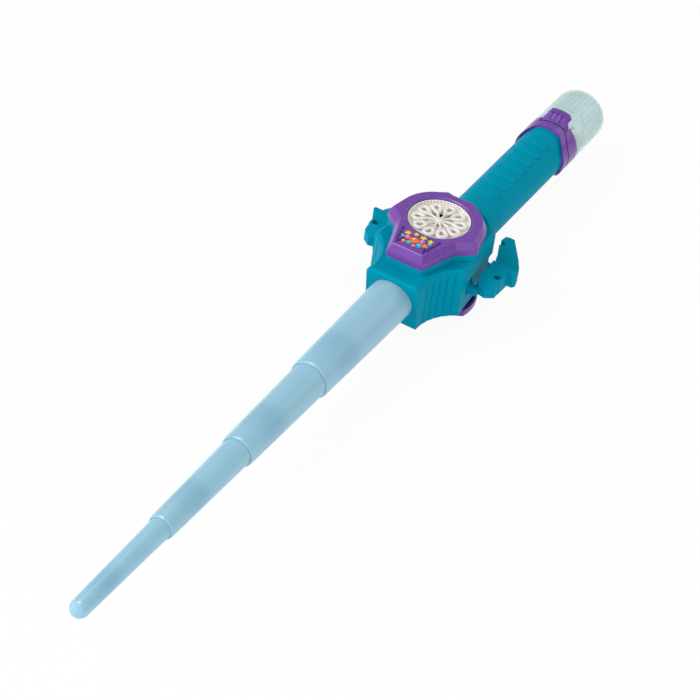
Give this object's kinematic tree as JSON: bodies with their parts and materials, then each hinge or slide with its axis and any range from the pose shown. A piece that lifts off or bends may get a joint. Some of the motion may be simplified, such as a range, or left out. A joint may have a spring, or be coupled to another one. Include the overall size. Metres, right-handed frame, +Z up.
{
  "type": "bubble wand",
  "caption": "Battery bubble wand shaped like a toy sword: telescoping blade, winged hilt with a spinning bubble wheel, squeeze trigger, ribbed grip and a clip-on solution bottle.",
  "frame": {"origin": "centre of the trigger's flat underside, straight below the bubble wheel's axle", "axes": "+Z up along the wheel axle, -Y along the blade to its tip, +X to the right wing"},
  "size_m": [0.12, 0.6891, 0.0691],
  "materials": {
    "teal_plastic": "semi-gloss",
    "purple_plastic": "semi-gloss",
    "blade_plastic": "gloss",
    "white_plastic": "satin",
    "clear_plastic": "gloss",
    "dark_plastic": "matt",
    "steel": "plain",
    "cell_case": "printed",
    "seal_rubber": "matt"
  },
  "bodies": {
    "hilt": {"hilt_upper_shell": "teal_plastic", "hilt_lower_shell": "teal_plastic", "grip_sleeve": "teal_plastic", "battery_door": "teal_plastic", "top_cover": "purple_plastic", "pommel_collar": "purple_plastic", "blade_base_tube": "blade_plastic", "bubble_dish": "white_plastic", "bottle_plug": "white_plastic", "feed_tube": "clear_plastic", "fan_housing": "dark_plastic", "air_duct": "dark_plastic", "pump_housing": "dark_plastic", "power_switch": "dark_plastic", "battery_holder": "dark_plastic", "reduction_axle": "steel", "motor": "steel", "pump_axle": "steel", "trigger_pin": "steel", "trigger_spring": "steel", "wing_pins": "steel", "battery_contacts": "steel", "battery_door_screw": "steel", "catch_spring": "steel", "cover_screws": "steel", "housing_screws": "steel", "battery_cells": "cell_case", "bottle_seal": "seal_rubber"},
    "blade_second": {"blade_second_tube": "blade_plastic"},
    "blade_third": {"blade_third_tube": "blade_plastic"},
    "blade_tip": {"blade_tip_tube": "blade_plastic"},
    "wheel": {"bubble_wheel": "white_plastic", "wheel_axle": "steel", "wheel_gear": "white_plastic"},
    "reduction": {"reduction_gear": "white_plastic"},
    "motor_rotor": {"motor_shaft": "steel", "fan_impeller": "white_plastic"},
    "pump": {"pump_rotor": "white_plastic"},
    "trigger": {"squeeze_trigger": "purple_plastic"},
    "switch_plunger": {"switch_button": "white_plastic"},
    "wing_right": {"right_wing": "teal_plastic"},
    "wing_left": {"left_wing": "teal_plastic"},
    "catch": {"catch_button": "purple_plastic"},
    "bottle_body": {"bottle": "clear_plastic"}
  },
  "joints": [
    {"name": "second_tube_slide", "type": "slide", "parent": "hilt", "child": "blade_second", "axis": [0, 1, 0], "range_m": [0, 0.088]},
    {"name": "third_tube_slide", "type": "slide", "parent": "blade_second", "child": "blade_third", "axis": [0, 1, 0], "range_m": [0, 0.087]},
    {"name": "tip_tube_slide", "type": "slide", "parent": "blade_third", "child": "blade_tip", "axis": [0, 1, 0], "range_m": [0, 0.085]},
    {"name": "wheel_spin", "type": "hinge", "parent": "hilt", "child": "wheel", "pos_m": [0, 0, 0.0652], "axis": [0, 0, 1], "continuous": true},
    {"name": "reduction_spin", "type": "hinge", "parent": "hilt", "child": "reduction", "pos_m": [0.00729, -0.01447, 0.0562], "axis": [0, 0, 1], "continuous": true},
    {"name": "motor_spin", "type": "hinge", "parent": "hilt", "child": "motor_rotor", "pos_m": [0, -0.024, 0.0332], "axis": [0, 0, 1], "continuous": true},
    {"name": "pump_spin", "type": "hinge", "parent": "hilt", "child": "pump", "pos_m": [-0.0192, 0, 0.0532], "axis": [0, 0, 1], "continuous": true},
    {"name": "trigger_squeeze", "type": "hinge", "parent": "hilt", "child": "trigger", "pos_m": [0, -0.019, 0.0092], "axis": [1, 0, 0], "range_deg": [0, 5], "stiffness_Nm_per_rad": 2, "springref_deg": -7.16, "deforming": ["trigger_spring"]},
    {"name": "switch_press", "type": "slide", "parent": "hilt", "child": "switch_plunger", "axis": [0, 0, 1], "range_m": [0, 0.003]},
    {"name": "right_wing_fold", "type": "hinge", "parent": "hilt", "child": "wing_right", "pos_m": [0.032, -0.0095, 0.0332], "axis": [0, 0, 1], "range_deg": [0, 7]},
    {"name": "left_wing_fold", "type": "hinge", "parent": "hilt", "child": "wing_left", "pos_m": [-0.032, -0.0095, 0.0332], "axis": [0, 0, -1], "range_deg": [0, 7]},
    {"name": "catch_press", "type": "slide", "parent": "hilt", "child": "catch", "axis": [0, 0, -1], "range_m": [0, 0.001], "stiffness_N_per_m": 800, "springref_m": -0.002, "deforming": ["catch_spring"]},
    {"name": "bottle_pull", "type": "slide", "parent": "hilt", "child": "bottle_body", "axis": [0, 1, 0], "range_m": [0, 0.035]}
  ],
  "couplings": [
    {"joint": "reduction_spin", "follows": "wheel_spin", "ratio": -4.4},
    {"joint": "motor_spin", "follows": "wheel_spin", "ratio": 17.6},
    {"joint": "pump_spin", "follows": "wheel_spin", "ratio": -2.2},
    {"joint": "switch_press", "follows": "trigger_squeeze", "m_per_rad": 0.033}
  ]
}
